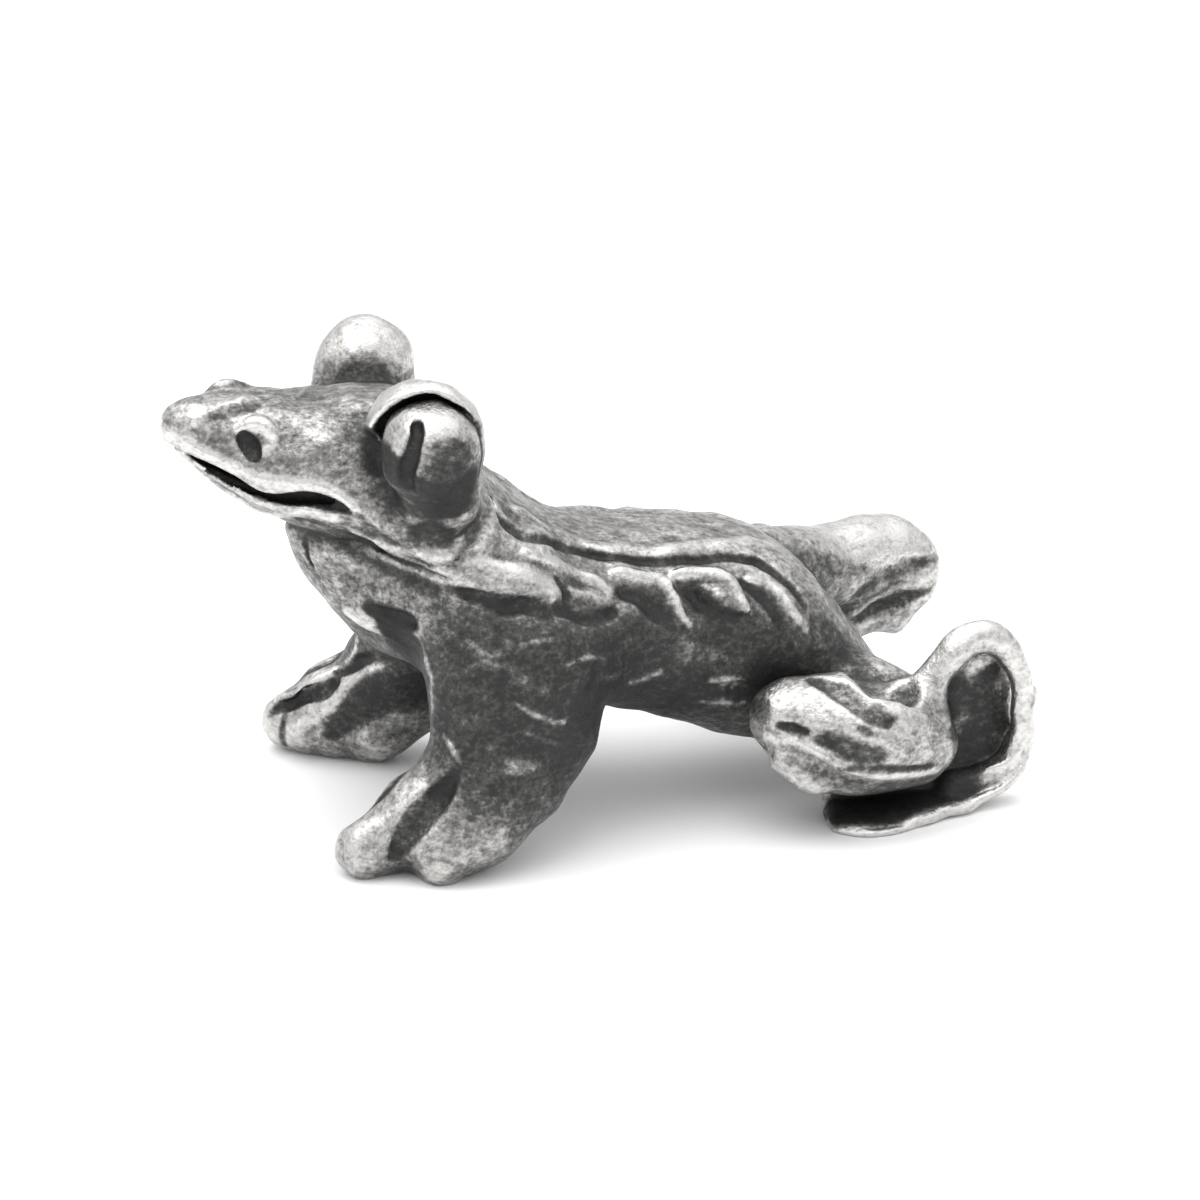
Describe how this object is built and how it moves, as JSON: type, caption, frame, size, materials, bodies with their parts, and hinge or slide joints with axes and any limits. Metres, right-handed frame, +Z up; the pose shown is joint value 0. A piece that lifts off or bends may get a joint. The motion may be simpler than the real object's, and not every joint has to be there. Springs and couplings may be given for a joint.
{
  "type": "frog figurine",
  "caption": "Small cast metal frog that crouches with raised head and bulging hooded eyes, a decorative ornament that stands on its feet.",
  "frame": {"origin": "middle of the figure's footprint, on the surface that it stands on", "axes": "+Z up, nose toward -X, the frog's left side toward -Y"},
  "size_m": [0.0316, 0.0162, 0.0179],
  "materials": {
    "pewter": "antiqued cast pewter: polished high spots over dark, grainy recesses"
  },
  "bodies": {
    "root": {"torso": "pewter", "head": "pewter", "lower_jaw": "pewter", "left_eye": "pewter", "right_eye": "pewter", "left_eyelid": "pewter", "right_eyelid": "pewter", "left_foreleg": "pewter", "right_foreleg": "pewter", "left_thigh": "pewter", "right_thigh": "pewter", "left_shank": "pewter", "right_shank": "pewter", "left_hind_foot": "pewter", "right_hind_foot": "pewter"}
  },
  "joints": []
}
